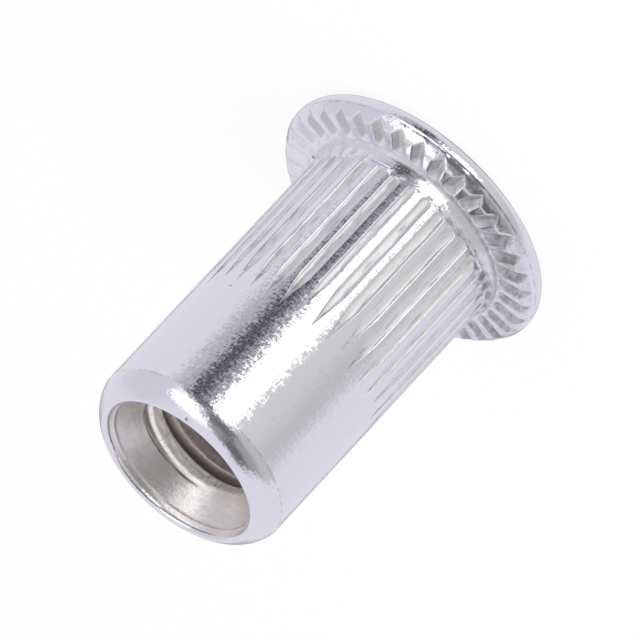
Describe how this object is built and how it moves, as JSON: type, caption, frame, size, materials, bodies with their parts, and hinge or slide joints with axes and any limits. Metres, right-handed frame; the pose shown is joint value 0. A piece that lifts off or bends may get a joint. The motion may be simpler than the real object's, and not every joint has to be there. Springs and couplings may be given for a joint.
{
  "type": "rivet nut",
  "caption": "Open-ended blind rivet nut: flat head with a radially serrated seat, straight-knurled shank, thin sleeve that folds when set, and an internal metric thread.",
  "frame": {"origin": "centre of the head's outer face, which the nut stands on", "axes": "+Z along the axis from the head to the open, threaded end; X and Y across it, equal by symmetry"},
  "size_m": [0.0098, 0.0098, 0.0127],
  "materials": {
    "zinc_plated_steel": "bright zinc plating, fine drawn scratches"
  },
  "bodies": {
    "root": {"rivet_nut": "zinc_plated_steel"}
  },
  "joints": []
}
